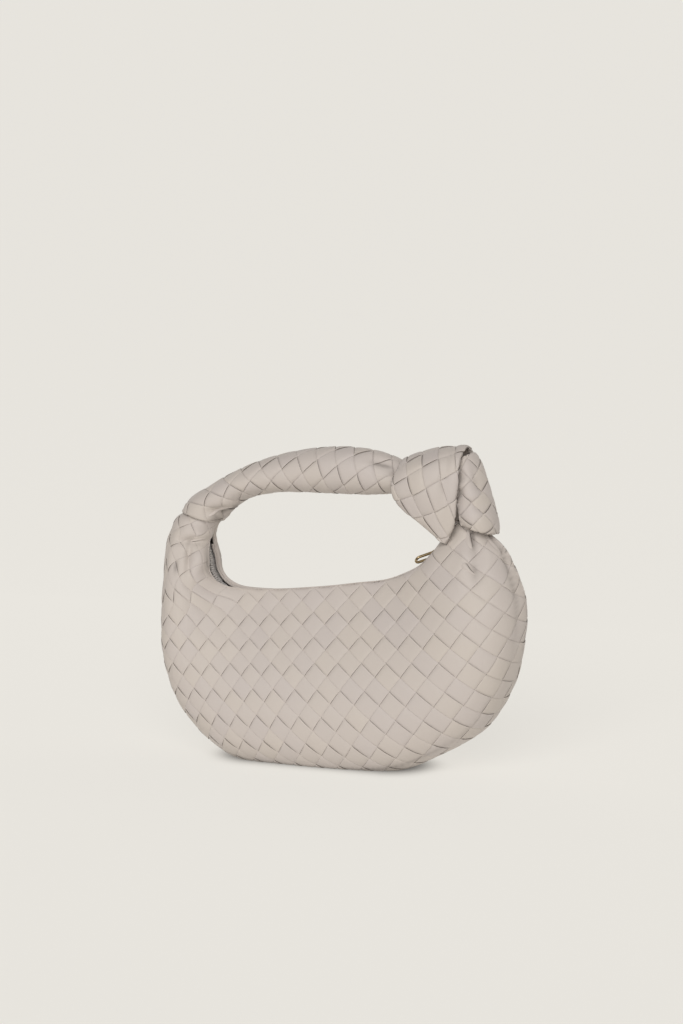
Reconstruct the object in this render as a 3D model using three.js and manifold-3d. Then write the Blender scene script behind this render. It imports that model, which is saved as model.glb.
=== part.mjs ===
// A small knotted handbag of woven leather. One woven sheet is rolled round into a pouch with a long
// mouth on its inner side. The left shoulder runs up into a hollow handle, which arches back to the
// right and is tied in a knot above the right shoulder. A zip closes the mouth.
// Millimetres. +X is to the right, +Y to the back and +Z up, with the origin under the middle of the base.
import * as THREE from "three";
import { mergeVertices } from "three/addons/utils/BufferGeometryUtils.js";
import Module from "manifold-3d";

// Driving sizes
const LEATHER = 2.4; // wall of the woven leather
const HANDLE_WALL = 1.8; // wall of the handle's tube
const CLEARANCE = 0.5; // gap between neighbouring pieces of the zip
const MOUTH_REACH = 6; // how fast the mouth's gap fades along a section, as a power
const CORD_RADIUS = 1.0; // rolled edge along each side of the zip
const CORD_GAP = 0.4;
const TAPE_DEPTH = 5.2; // how far the zip's tape lies below the lips
const TAPE_THICKNESS = 0.9;
const NECK_SINK = 5; // how much deeper the zip goes at the right neck
const NECK_SINK_AT = 0.16;
const NECK_SINK_REACH = 0.05;
const COIL_WIDTH = 4.6;
const COIL_HEIGHT = 2.0;
const COIL_DEPTH = TAPE_DEPTH - TAPE_THICKNESS / 2 - CLEARANCE; // underside of the teeth, below the lips

// Sections of the pouch, from the right neck round the base to the left neck. Each one is a ring in a plane
// that holds the Y axis, from a lip point (x, z) on the mouth to an outer point on the sides or base.
// depth is its half depth and mouth half the mouth's gap. lipRound and outRound shape its two ends, where 0.5
// is round and 1 a wedge. facets counts the steps to the next section.
const POUCH_SECTIONS = [
  { lip: [87, 180], outer: [106, 180], depth: 8.5, mouth: 0.6, lipRound: 0.5, outRound: 0.5, facets: 2 },
  { lip: [80.5, 171.5], outer: [112, 170.5], depth: 12.5, mouth: 0.8, lipRound: 0.5, outRound: 0.5, facets: 2 },
  { lip: [75, 164], outer: [122, 161], depth: 17.5, mouth: 3, lipRound: 0.5, outRound: 0.5, facets: 2 },
  { lip: [70.5, 157], outer: [128.5, 148], depth: 23, mouth: 7.5, lipRound: 0.55, outRound: 0.48, facets: 2 },
  { lip: [62, 148], outer: [136, 125], depth: 30, mouth: 8.5, lipRound: 0.65, outRound: 0.45, facets: 2 },
  { lip: [50, 141], outer: [135.5, 97], depth: 35.5, mouth: 8.5, lipRound: 0.75, outRound: 0.43, facets: 3 },
  { lip: [35, 134.5], outer: [127.5, 62], depth: 39, mouth: 8.5, lipRound: 0.85, outRound: 0.42, facets: 3 },
  { lip: [16, 130.5], outer: [104.5, 25.5], depth: 41, mouth: 8.5, lipRound: 0.9, outRound: 0.42, facets: 4 },
  { lip: [-4, 127], outer: [63, -1], depth: 42, mouth: 8.5, lipRound: 0.9, outRound: 0.42, facets: 3 },
  { lip: [-24, 124.5], outer: [14, -7], depth: 42, mouth: 8.5, lipRound: 0.9, outRound: 0.42, facets: 2 },
  { lip: [-44, 122.5], outer: [-36, -7], depth: 42, mouth: 8.5, lipRound: 0.9, outRound: 0.42, facets: 2 },
  { lip: [-64, 122], outer: [-84, -3], depth: 42, mouth: 8.8, lipRound: 0.9, outRound: 0.42, facets: 4 },
  { lip: [-81, 123], outer: [-117.5, 28], depth: 40, mouth: 9.5, lipRound: 0.85, outRound: 0.42, facets: 3 },
  { lip: [-92, 127.5], outer: [-133.5, 65], depth: 37, mouth: 10.5, lipRound: 0.75, outRound: 0.43, facets: 3 },
  { lip: [-98, 135], outer: [-137, 102], depth: 32, mouth: 11, lipRound: 0.65, outRound: 0.45, facets: 2 },
  { lip: [-99.2, 143.5], outer: [-137.5, 131], depth: 26, mouth: 10, lipRound: 0.55, outRound: 0.48, facets: 2 },
  { lip: [-100.5, 153.5], outer: [-136.5, 152], depth: 21, mouth: 6.5, lipRound: 0.5, outRound: 0.5, facets: 2 },
  { lip: [-99.5, 161], outer: [-132.5, 165], depth: 18, mouth: 2, lipRound: 0.5, outRound: 0.5, facets: 1 },
  { lip: [-97.5, 167], outer: [-128.3, 173.3], depth: 17.2, mouth: 0.8, lipRound: 0.5, outRound: 0.5, facets: 1 },
  { lip: [-94, 172], outer: [-121.6, 179.1], depth: 14.3, mouth: 0.6, lipRound: 0.5, outRound: 0.5, facets: 1 },
  { lip: [-91, 178.5], outer: [-111, 186], depth: 10.5, mouth: 0.6, lipRound: 0.5, outRound: 0.5, facets: 0 },
];

// Folds of the pouch: along and round are the middle, reach and spread the size, all as shares of the sheet's
// length and width. Round runs from the front lip at 0 over the outer edge at 0.5 to the back lip at 1.
// A raised fold stands out of the leather by its height, and a negative height is a crease.
const POUCH_FOLDS = [
  { along: 0.2, round: 0.5, reach: 0.11, spread: 0.022, height: 1.6 }, // side edge, right
  { along: 0.72, round: 0.5, reach: 0.08, spread: 0.03, height: 0.8 }, // side edge, left
  { along: 0.12, round: 0.31, reach: 0.05, spread: 0.026, height: -3 }, // darts below the knot
  { along: 0.13, round: 0.4, reach: 0.05, spread: 0.022, height: -1.6 },
  { along: 0.14, round: 0.24, reach: 0.06, spread: 0.022, height: 1.1 },
  { along: 0.12, round: 0.7, reach: 0.05, spread: 0.026, height: -3 },
  { along: 0.13, round: 0.6, reach: 0.05, spread: 0.022, height: -1.6 },
  { along: 0.76, round: 0.1, reach: 0.035, spread: 0.045, height: 1.6 }, // rolls below the handle
  { along: 0.79, round: 0.2, reach: 0.05, spread: 0.024, height: -2.4 },
  { along: 0.79, round: 0.3, reach: 0.05, spread: 0.035, height: 1.5 },
  { along: 0.79, round: 0.8, reach: 0.05, spread: 0.024, height: -2.4 },
  { along: 0.79, round: 0.7, reach: 0.05, spread: 0.035, height: 1.5 },
  { along: 0.845, round: 0.22, reach: 0.014, spread: 0.16, height: -1.8 }, // tuck round the neck
  { along: 0.845, round: 0.78, reach: 0.014, spread: 0.16, height: -1.8 },
];

// Sections of the handle's tube, from its rim at the left neck over to its end inside the knot
const HANDLE_SECTIONS = [
  { inner: [-89.5, 169.8], outer: [-124.6, 180.2], depth: 17, middleY: 0 },
  { inner: [-85.5, 176.5], outer: [-115.6, 189.6], depth: 17.5, middleY: 0 },
  { inner: [-79.5, 183.5], outer: [-101.2, 198.2], depth: 17, middleY: 0 },
  { inner: [-68, 190], outer: [-84, 208], depth: 17, middleY: 0 },
  { inner: [-48, 194], outer: [-60, 218.5], depth: 17, middleY: 0 },
  { inner: [-25, 195], outer: [-32, 226], depth: 17, middleY: 0 },
  { inner: [0, 195], outer: [-2, 229.5], depth: 17, middleY: 0 },
  { inner: [21, 195], outer: [21, 228.5], depth: 16.5, middleY: 0 },
  { inner: [37, 196], outer: [38, 224.5], depth: 14.5, middleY: 1 },
  { inner: [51, 197], outer: [53, 217.5], depth: 12.5, middleY: 1 },
  { inner: [63, 194], outer: [71, 214], depth: 12, middleY: 1 },
  { inner: [71, 188], outer: [85, 202], depth: 11, middleY: 1 },
];

// Folds of the handle, given as those of the pouch. Round runs from the inner side at 0 over the front at 0.25.
const HANDLE_FOLDS = [
  { along: 0.1, round: 0.12, reach: 0.035, spread: 0.12, height: -2.4 }, // buckles inside the bend
  { along: 0.17, round: 0.1, reach: 0.03, spread: 0.1, height: 1.2 },
  { along: 0.1, round: 0.88, reach: 0.035, spread: 0.12, height: -2.4 },
  { along: 0.75, round: 0.22, reach: 0.09, spread: 0.05, height: -2.6 }, // pulled in towards the knot
  { along: 0.74, round: 0.78, reach: 0.09, spread: 0.05, height: -2.6 },
];

// Sections of the band that wraps the knot, from its front tip over the top to its back tip. Its width lies on
// an axis that tilts in the front view, facing turns from the front at 0 over the top at 90 to the back at 180,
// and cup is how far its two rims curl inwards.
const BAND_SECTIONS = [
  { at: [79.5, -15, 167], halfWidth: 5, tilt: -30, facing: -24, cup: 0.5 },
  { at: [71, -19.8, 182.5], halfWidth: 20, tilt: -14, facing: -20, cup: 2 },
  { at: [68.5, -24.5, 203], halfWidth: 25, tilt: 3, facing: 2, cup: 4.5 },
  { at: [69.5, -19, 220.5], halfWidth: 25, tilt: 12, facing: 44, cup: 3 },
  { at: [70.5, 0, 228.5], halfWidth: 24.5, tilt: 13, facing: 90, cup: 1.5 },
  { at: [70.5, 19, 220], halfWidth: 24.5, tilt: 11, facing: 136, cup: 3 },
  { at: [70.5, 24.5, 203], halfWidth: 24.5, tilt: 2, facing: 178, cup: 4.5 },
  { at: [76, 19.8, 184], halfWidth: 17.5, tilt: -12, facing: 200, cup: 2 },
  { at: [82, 15.6, 168.5], halfWidth: 5, tilt: -26, facing: 204, cup: 0.5 },
];
const BAND_HALF_THICKNESS = 2.4;

// Folds of the band and of the collar, across from one edge at -1 to the other at 1
const BAND_FOLDS = [
  { along: 0.3, round: 0.62, reach: 0.2, spread: 0.13, height: -1.5 },
  { along: 0.2, round: -0.35, reach: 0.1, spread: 0.2, height: -1 },
  { along: 0.7, round: 0.5, reach: 0.18, spread: 0.16, height: -1.5 },
];
const COLLAR_FOLDS = [
  { along: 0.3, round: -0.2, reach: 0.05, spread: 0.7, height: -1.6 },
  { along: 0.47, round: 0.1, reach: 0.05, spread: 0.6, height: 0.8 },
  { along: 0.64, round: -0.2, reach: 0.05, spread: 0.7, height: -1.6 },
];

// Sections of the collar, the fold of the knot that wraps the right neck from the front round to the back.
// bulge is how far its middle stands out between the lower and the upper edge.
const COLLAR_SECTIONS = [
  { low: [94, -13, 177], high: [88, -9, 218], bulge: 2 },
  { low: [106, -15.5, 173.5], high: [93, -10, 223], bulge: 3 },
  { low: [114, -9.5, 171.5], high: [97, -6.5, 227.5], bulge: 2.6 },
  { low: [116, 2, 170.5], high: [98.5, 1, 228.5], bulge: 2 },
  { low: [113, 12.5, 171], high: [96.5, 8, 226.5], bulge: 2.2 },
  { low: [106, 16, 173], high: [93, 11, 221], bulge: 3 },
  { low: [94, 13.5, 177], high: [88, 10, 216], bulge: 2 },
];
const COLLAR_HALF_THICKNESS = 2.0;

// Zip slider and pull, on the mouth's slope near the right neck
const SLIDER_AT = 0.172; // share of the pouch's length
const SLIDER_LENGTH = 8.4;
const SLIDER_CLEARANCE = 0.8; // above the teeth, whose line bends under the plate
const SLIDER_WIDTH = 5.4;
const SLIDER_THICKNESS = 1.5;
const BAIL_WIRE = 0.75; // radius
const BAIL_SPAN = 6.2;
const BAIL_RISE = 5.6;
const HINGE_RISE = 2.5;
const PULL_LENGTH = 17;
const PULL_WIDTH = 7.6;
const PULL_THICKNESS = 1.6;
const PULL_RIM = 1.6; // width of the loop's flat wire
const PULL_DROOP = 21; // degrees below level, pointing left
const PULL_ROLL = 33; // degrees about its length, with its front edge lower

// Facet counts
const POUCH_ROUND = 32;
const HANDLE_STEPS = 26;
const HANDLE_ROUND = 18;
const BAND_STEPS = 30;
const COLLAR_STEPS = 18;
const RIBBON_ROUND = 20;
const ZIP_STEPS = 24;
const ZIP_ROUND = 6;

const LEATHER_COLOUR = 0xc7bfb4;
const materials = {
  leather: new THREE.MeshStandardMaterial({ color: LEATHER_COLOUR, roughness: 0.62, metalness: 0 }),
  binding: new THREE.MeshStandardMaterial({ color: 0xbdb4a8, roughness: 0.6, metalness: 0 }),
  tape: new THREE.MeshStandardMaterial({ color: 0x8d857e, roughness: 0.9, metalness: 0 }),
  brass: new THREE.MeshStandardMaterial({ color: 0xb99b63, roughness: 0.28, metalness: 1 }),
};

const Y_AXIS = new THREE.Vector3(0, 1, 0);
const wasm = await Module();
wasm.setup();

// Two closed solids joined to one
function united(first, second) {
  const solid = (geometry) => {
    const bare = new THREE.BufferGeometry().setAttribute("position", geometry.getAttribute("position"));
    const merged = mergeVertices(bare, 1e-4);
    return new wasm.Manifold(
      new wasm.Mesh({
        numProp: 3,
        vertProperties: merged.attributes.position.array,
        triVerts: new Uint32Array(merged.index.array),
      }),
    );
  };
  const made = solid(first).add(solid(second)).getMesh();
  return indexed(Array.from(made.vertProperties), Array.from(made.triVerts));
}

// A smooth curve through the values that pick takes from each row of a table
function through(table, pick) {
  const points = table.map((row) => new THREE.Vector3(...pick(row)));
  const curve = new THREE.CatmullRomCurve3(points, false, "catmullrom");
  return (share) => curve.getPoint(share);
}

// Height of a table of folds at one place of a sheet
function foldHeight(folds, along, round) {
  let height = 0;
  for (const fold of folds) {
    const a = (along - fold.along) / fold.reach;
    const r = (round - fold.round) / fold.spread;
    height += fold.height * Math.exp(-a * a - r * r);
  }
  return height;
}

// Outward normal of a surface at one place, from two short steps along it
function normalAt(surface, along, round) {
  const step = 1e-3;
  const ahead = surface(along + step, round).sub(surface(along - step, round));
  const across = surface(along, round + step).sub(surface(along, round - step));
  return ahead.cross(across).normalize();
}

// A closed wall between an outer and an inner surface, both given over a grid of along by round.
// A wrapped wall is a tube with open ends, and an unwrapped one is a sheet with four rims.
function wallGeometry(outer, inner, alongShares, roundShares, wrapped) {
  const rows = alongShares.length;
  const cols = roundShares.length;
  const positions = [];
  for (const face of [outer, inner])
    for (const along of alongShares)
      for (const round of roundShares) positions.push(...face(along, round).toArray());
  const at = (side, i, j) => side * rows * cols + i * cols + (j % cols);
  const index = [];
  const quad = (a, b, c, d) => index.push(a, b, c, a, c, d);
  const spans = wrapped ? cols : cols - 1;
  for (let i = 0; i < rows - 1; i++)
    for (let j = 0; j < spans; j++) {
      quad(at(0, i, j), at(0, i + 1, j), at(0, i + 1, j + 1), at(0, i, j + 1));
      quad(at(1, i, j), at(1, i, j + 1), at(1, i + 1, j + 1), at(1, i + 1, j));
    }
  for (let j = 0; j < spans; j++) {
    quad(at(0, 0, j), at(0, 0, j + 1), at(1, 0, j + 1), at(1, 0, j));
    quad(at(0, rows - 1, j), at(1, rows - 1, j), at(1, rows - 1, j + 1), at(0, rows - 1, j + 1));
  }
  for (let i = 0; i < rows - 1 && !wrapped; i++) {
    quad(at(0, i, 0), at(1, i, 0), at(1, i + 1, 0), at(0, i + 1, 0));
    quad(at(0, i, cols - 1), at(0, i + 1, cols - 1), at(1, i + 1, cols - 1), at(1, i, cols - 1));
  }
  return indexed(positions, index);
}

// A solid whose skin is a closed loop carried along a path. A strip between its two faces closes each end.
function sweptGeometry(skin, alongShares, loopCount) {
  const positions = [];
  for (const along of alongShares)
    for (let j = 0; j < loopCount; j++) positions.push(...skin(along, j / loopCount).toArray());
  const last = alongShares.length - 1;
  const at = (i, j) => i * loopCount + (j % loopCount);
  const index = [];
  for (let i = 0; i < last; i++)
    for (let j = 0; j < loopCount; j++) {
      index.push(at(i, j), at(i + 1, j), at(i + 1, j + 1));
      index.push(at(i, j), at(i + 1, j + 1), at(i, j + 1));
    }
  for (let j = 0; j < loopCount / 2; j++) {
    const back = loopCount - j;
    if (j > 0) {
      index.push(at(0, j), at(0, j + 1), at(0, back));
      index.push(at(last, j), at(last, back), at(last, j + 1));
    }
    if (j + 1 < back - 1) {
      index.push(at(0, j + 1), at(0, back - 1), at(0, back));
      index.push(at(last, j + 1), at(last, back), at(last, back - 1));
    }
  }
  return indexed(positions, index);
}

function indexed(positions, index) {
  const geometry = new THREE.BufferGeometry();
  geometry.setAttribute("position", new THREE.Float32BufferAttribute(positions, 3));
  geometry.setIndex(index);
  return facingOut(geometry);
}

// Turns the triangles over where the solid came out inside out
function facingOut(geometry) {
  const p = geometry.attributes.position;
  const index = geometry.index.array;
  const corner = (k) => new THREE.Vector3().fromBufferAttribute(p, index[k]);
  let volume = 0;
  for (let k = 0; k < index.length; k += 3) volume += corner(k).dot(corner(k + 1).cross(corner(k + 2)));
  if (volume < 0)
    for (let k = 0; k < index.length; k += 3) [index[k + 1], index[k + 2]] = [index[k + 2], index[k + 1]];
  geometry.computeVertexNormals();
  return geometry;
}

// Evenly spaced shares, both ends included
function evenly(count, from = 0, to = 1) {
  return Array.from({ length: count + 1 }, (_, i) => from + ((to - from) * i) / count);
}

// Pouch
const lipLine = through(POUCH_SECTIONS, (row) => [row.lip[0], 0, row.lip[1]]);
const outerLine = through(POUCH_SECTIONS, (row) => [row.outer[0], 0, row.outer[1]]);
const pouchDepth = through(POUCH_SECTIONS, (row) => [row.depth, row.mouth, 0]);
const pouchRounds = through(POUCH_SECTIONS, (row) => [row.lipRound, row.outRound, 0]);

// Share of a section's depth at a share of the way from its lip to its outer edge: a hump with two given ends
function hump(way, startRound, endRound) {
  const peak = startRound / (startRound + endRound);
  const shape = (w) => Math.max(w, 0) ** startRound * Math.max(1 - w, 0) ** endRound;
  return shape(way) / shape(peak);
}

// The pouch's outer face before its folds
function pouchSmooth(along, round) {
  const angle = 2 * Math.PI * round;
  const way = (1 - Math.cos(angle)) / 2;
  const { x: depth, y: mouth } = pouchDepth(along);
  const { x: lipRound, y: outRound } = pouchRounds(along);
  const reach = depth * hump(way, lipRound, outRound) + mouth * (1 - way) ** MOUTH_REACH;
  const point = lipLine(along).lerp(outerLine(along), way);
  point.y = round < 0.5 ? -reach : reach;
  return point;
}

function pouchNormal(along, round) {
  const { clamp } = THREE.MathUtils;
  return normalAt(pouchSmooth, clamp(along, 0.002, 0.998), clamp(round, 0.004, 0.996));
}

// The pouch's face at a depth into the leather, flattened where the base rests
function pouchFace(along, round, depth) {
  const out = pouchNormal(along, round).multiplyScalar(foldHeight(POUCH_FOLDS, along, round) - depth);
  const point = pouchSmooth(along, round).add(out);
  point.z = Math.max(point.z, depth);
  return point;
}

function pouch() {
  const last = POUCH_SECTIONS.length - 1;
  const steps = (row, i) => evenly(row.facets, i, i + 1).slice(0, row.facets);
  const alongShares = [...POUCH_SECTIONS.flatMap(steps), last].map((place) => place / last);
  const roundShares = evenly(POUCH_ROUND);
  return wallGeometry(
    (a, r) => pouchFace(a, r, 0),
    (a, r) => pouchFace(a, r, LEATHER),
    alongShares,
    roundShares,
    false,
  );
}

// Handle
const handleInner = through(HANDLE_SECTIONS, (row) => [row.inner[0], row.middleY, row.inner[1]]);
const handleOuter = through(HANDLE_SECTIONS, (row) => [row.outer[0], row.middleY, row.outer[1]]);
const handleDepth = through(HANDLE_SECTIONS, (row) => [row.depth, 0, 0]);

function handleSmooth(along, round) {
  const angle = 2 * Math.PI * round;
  const point = handleInner(along).lerp(handleOuter(along), (1 - Math.cos(angle)) / 2);
  point.y -= handleDepth(along).x * Math.sin(angle);
  return point;
}

function handleFace(along, round, depth) {
  const normal = normalAt(handleSmooth, THREE.MathUtils.clamp(along, 0.002, 0.998), round);
  return handleSmooth(along, round).addScaledVector(normal, foldHeight(HANDLE_FOLDS, along, round) - depth);
}

function handle() {
  const roundShares = evenly(HANDLE_ROUND).slice(0, HANDLE_ROUND);
  return wallGeometry(
    (a, r) => handleFace(a, r, 0),
    (a, r) => handleFace(a, r, HANDLE_WALL),
    evenly(HANDLE_STEPS),
    roundShares,
    true,
  );
}

// A flat ribbon's section: a lens with round edges, as shares of its half width and half thickness
function ribbonLoop(loop) {
  const angle = 2 * Math.PI * loop;
  const across = Math.cos(angle);
  const thick = Math.sign(Math.sin(angle)) * Math.abs(Math.sin(angle)) ** 0.6;
  return { across, thick };
}

// Band of the knot
const bandMiddle = through(BAND_SECTIONS, (row) => row.at);
const bandForm = through(BAND_SECTIONS, (row) => [row.halfWidth, row.cup, 0]);
const bandTurn = through(BAND_SECTIONS, (row) => [row.tilt, row.facing, 0]);

function bandSkin(along, loop) {
  const { across, thick } = ribbonLoop(loop);
  const { x: halfWidth, y: cup } = bandForm(along);
  const { x: tilt, y: facing } = bandTurn(along);
  const t = THREE.MathUtils.degToRad(tilt);
  const f = THREE.MathUtils.degToRad(facing);
  const wide = new THREE.Vector3(Math.cos(t), 0, Math.sin(t));
  const outward = new THREE.Vector3(0, -Math.cos(f), Math.sin(f));
  outward.addScaledVector(wide, -outward.dot(wide)).normalize();
  return bandMiddle(along)
    .addScaledVector(wide, halfWidth * across)
    .addScaledVector(outward, BAND_HALF_THICKNESS * thick - cup * across * across)
    .addScaledVector(outward, foldHeight(BAND_FOLDS, along, across));
}

// Collar of the knot
const collarLow = through(COLLAR_SECTIONS, (row) => row.low);
const collarHigh = through(COLLAR_SECTIONS, (row) => row.high);
const collarBulge = through(COLLAR_SECTIONS, (row) => [row.bulge, 0, 0]);

function collarSkin(along, loop) {
  const { across, thick } = ribbonLoop(loop);
  const low = collarLow(along);
  const high = collarHigh(along);
  const ahead = collarLow(Math.min(along + 0.01, 1)).sub(collarLow(Math.max(along - 0.01, 0)));
  const outward = ahead.cross(high.clone().sub(low)).normalize();
  const bulge = collarBulge(along).x * (1 - across ** 4) + foldHeight(COLLAR_FOLDS, along, across);
  const middle = low.lerp(high, (1 + across) / 2);
  return middle.addScaledVector(outward, bulge + COLLAR_HALF_THICKNESS * thick);
}

// Zip: the line of its middle, sunk below the lips, and the direction that points out of the mouth
const mouthOut = (along) => lipLine(along).sub(outerLine(along)).normalize();
const neckSink = (along) => NECK_SINK * Math.exp(-(((along - NECK_SINK_AT) / NECK_SINK_REACH) ** 2));
const lipDepth = (along, depth) => lipLine(along).addScaledVector(mouthOut(along), -depth);
const zipLine = (along, depth) => lipDepth(along, depth + neckSink(along));

function zipTapeSkin(along, loop) {
  const half = pouchDepth(along).y - LEATHER + 1.2;
  const corner = [[-1, -1], [1, -1], [1, 1], [-1, 1]][Math.round(loop * 4) % 4];
  const point = zipLine(along, TAPE_DEPTH + (TAPE_THICKNESS / 2) * -corner[1]);
  point.y = half * corner[0];
  return point;
}

function zipCoilSkin(along, loop) {
  const angle = 2 * Math.PI * loop;
  const point = zipLine(along, COIL_DEPTH - (COIL_HEIGHT / 2) * (1 + Math.sin(angle)));
  point.y = (COIL_WIDTH / 2) * Math.cos(angle);
  return point;
}

// Rolled edge beside the inner edge of one lip: side is -1 for the front and 1 for the back
function bindingSkin(side) {
  return (along, loop) => {
    const angle = 2 * Math.PI * loop;
    const point = pouchFace(along, side < 0 ? 0 : 1, LEATHER);
    point.y -= side * (CORD_RADIUS + CORD_GAP);
    point.y += CORD_RADIUS * Math.cos(angle);
    return point.addScaledVector(mouthOut(along), CORD_RADIUS * Math.sin(angle));
  };
}

const zipShares = (from, to) => evenly(ZIP_STEPS, from, to);

// Slider and pull: the frame at the slider has X along the zip towards the right neck and Z out of the mouth
const coilTop = COIL_DEPTH - COIL_HEIGHT;
const sliderAlong = zipLine(SLIDER_AT - 0.01, coilTop).sub(zipLine(SLIDER_AT + 0.01, coilTop)).normalize();
const sliderOut = sliderAlong.clone().cross(Y_AXIS);
const sliderBase = zipLine(SLIDER_AT, coilTop).addScaledVector(sliderOut, SLIDER_CLEARANCE);
const sliderFrame = new THREE.Matrix4().makeBasis(sliderAlong, Y_AXIS, sliderOut).setPosition(sliderBase);

// A plate with round ends and an optional slot, lying flat with its length along X
function plate(length, width, thickness, rim) {
  const outline = (holder, l, w) => {
    const r = w / 2;
    holder.moveTo(-l / 2 + r, -r);
    holder.lineTo(l / 2 - r, -r);
    holder.absarc(l / 2 - r, 0, r, -Math.PI / 2, Math.PI / 2, false);
    holder.lineTo(-l / 2 + r, r);
    holder.absarc(-l / 2 + r, 0, r, Math.PI / 2, (3 * Math.PI) / 2, false);
    return holder;
  };
  const shape = outline(new THREE.Shape(), length, width);
  if (rim) shape.holes.push(outline(new THREE.Path(), length - 2 * rim, width - 2 * rim));
  return new THREE.ExtrudeGeometry(shape, { depth: thickness, bevelEnabled: false, curveSegments: 6 });
}

// The bail is an arch along the zip on top of the slider's plate
function slider() {
  const top = SLIDER_THICKNESS;
  const half = BAIL_SPAN / 2;
  const path = new THREE.CatmullRomCurve3(
    [
      [-half, 0, top - 0.6],
      [-half, 0, top + BAIL_RISE * 0.45],
      [-half * 0.62, 0, top + BAIL_RISE * 0.88],
      [0, 0, top + BAIL_RISE],
      [half * 0.62, 0, top + BAIL_RISE * 0.88],
      [half, 0, top + BAIL_RISE * 0.45],
      [half, 0, top - 0.6],
    ].map((p) => new THREE.Vector3(...p)),
  );
  const wire = new THREE.Shape().absarc(0, 0, BAIL_WIRE, 0, 2 * Math.PI, false);
  const bail = new THREE.ExtrudeGeometry(wire, { extrudePath: path, steps: 12, curveSegments: 4 });
  const body = plate(SLIDER_LENGTH, SLIDER_WIDTH, SLIDER_THICKNESS, 0);
  return united(body, bail).applyMatrix4(sliderFrame);
}

// The pull's end bar goes through the bail, and its loop lies towards the left
const hingePoint = new THREE.Vector3(0, 0, SLIDER_THICKNESS + HINGE_RISE).applyMatrix4(sliderFrame);

function pull() {
  const loop = plate(PULL_LENGTH, PULL_WIDTH, PULL_THICKNESS, PULL_RIM);
  loop.translate(-PULL_LENGTH / 2 + PULL_RIM / 2, 0, -PULL_THICKNESS / 2);
  loop.rotateX(THREE.MathUtils.degToRad(PULL_ROLL));
  loop.rotateY(-THREE.MathUtils.degToRad(PULL_DROOP));
  return loop.translate(...hingePoint.toArray());
}

const bag = new THREE.Group();

function add(name, geometry, material, holder = bag) {
  const mesh = new THREE.Mesh(geometry, material);
  mesh.name = name;
  holder.add(mesh);
  return mesh;
}

add("pouch", pouch(), materials.leather);
add("handle", handle(), materials.leather);
add("knot_band", sweptGeometry(bandSkin, evenly(BAND_STEPS), RIBBON_ROUND), materials.leather);
add("knot_collar", sweptGeometry(collarSkin, evenly(COLLAR_STEPS), RIBBON_ROUND), materials.leather);
add("zip_tape", sweptGeometry(zipTapeSkin, zipShares(0.13, 0.82), 4), materials.tape);
add("zip_coil", sweptGeometry(zipCoilSkin, zipShares(0.165, 0.785), ZIP_ROUND), materials.tape);
add("binding_front", sweptGeometry(bindingSkin(-1), zipShares(0.2, 0.8), ZIP_ROUND), materials.binding);
add("binding_back", sweptGeometry(bindingSkin(1), zipShares(0.2, 0.8), ZIP_ROUND), materials.binding);
add("zip_slider", slider(), materials.brass);
add("zip_pull", pull(), materials.brass);

export default bag;
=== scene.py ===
import math

import bpy
import numpy as np
from mathutils import Matrix, Vector
from mathutils.bvhtree import BVHTree


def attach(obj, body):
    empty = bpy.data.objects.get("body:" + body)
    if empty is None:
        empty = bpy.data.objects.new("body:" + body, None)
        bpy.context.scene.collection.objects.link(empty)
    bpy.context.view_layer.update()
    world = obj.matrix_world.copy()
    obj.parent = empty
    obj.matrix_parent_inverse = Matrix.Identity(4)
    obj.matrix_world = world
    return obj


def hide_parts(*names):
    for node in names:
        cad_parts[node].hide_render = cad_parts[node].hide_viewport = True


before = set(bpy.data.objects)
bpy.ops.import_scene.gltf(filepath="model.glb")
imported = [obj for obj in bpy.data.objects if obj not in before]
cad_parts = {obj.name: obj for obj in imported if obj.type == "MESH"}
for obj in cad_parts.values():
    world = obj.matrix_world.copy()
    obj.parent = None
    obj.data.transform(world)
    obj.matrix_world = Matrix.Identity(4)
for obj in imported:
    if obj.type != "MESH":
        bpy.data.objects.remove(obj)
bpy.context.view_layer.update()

mm = 0.001  # sizes below are in millimetres, meshes in metres
bpy.ops.object.select_all(action="DESELECT")


# Finishes: a wire is a socket that can be used in sums
class Wire:
    def __init__(self, tree, socket):
        self.tree = tree
        self.socket = socket

    def node(self, kind, settings=None, sockets=None, out=0):
        made = self.tree.nodes.new(kind)
        for name, value in (settings or {}).items():
            setattr(made, name, value)
        for name, value in (sockets or {}).items():
            if isinstance(value, Wire):
                self.tree.links.new(value.socket, made.inputs[name])
            else:
                made.inputs[name].default_value = value
        return Wire(self.tree, made.outputs[out])

    def maths(self, operation, first, second):
        return self.node("ShaderNodeMath", {"operation": operation}, {0: first, 1: second})

    def __add__(self, other):
        return self.maths("ADD", self, other)

    def __radd__(self, other):
        return self.maths("ADD", other, self)

    def __sub__(self, other):
        return self.maths("SUBTRACT", self, other)

    def __rsub__(self, other):
        return self.maths("SUBTRACT", other, self)

    def __mul__(self, other):
        return self.maths("MULTIPLY", self, other)

    def __rmul__(self, other):
        return self.maths("MULTIPLY", other, self)

    def blend(self, first, second):  # self is the share of the second colour
        mix = {"data_type": "RGBA", "clamp_factor": True}
        return self.node("ShaderNodeMix", mix, {0: self, 6: first, 7: second}, out=2)

    def noise(self, place, scale, detail):
        return self.node("ShaderNodeTexNoise", sockets={"Vector": place, "Scale": scale, "Detail": detail})

    def bump(self, height, strength, depth):
        return self.node("ShaderNodeBump", sockets={"Height": height, "Strength": strength, "Distance": depth})


def newFinish(name, constants):
    finish = bpy.data.materials.new(name)
    finish.use_nodes = True
    tree = finish.node_tree
    shader = tree.nodes["Principled BSDF"]
    for socket, value in constants.items():
        shader.inputs[socket].default_value = value
    wire = Wire(tree, tree.nodes["Material Output"].inputs["Surface"])

    def feed(socket, source):
        tree.links.new(source.socket, shader.inputs[socket])

    return finish, wire, feed


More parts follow.
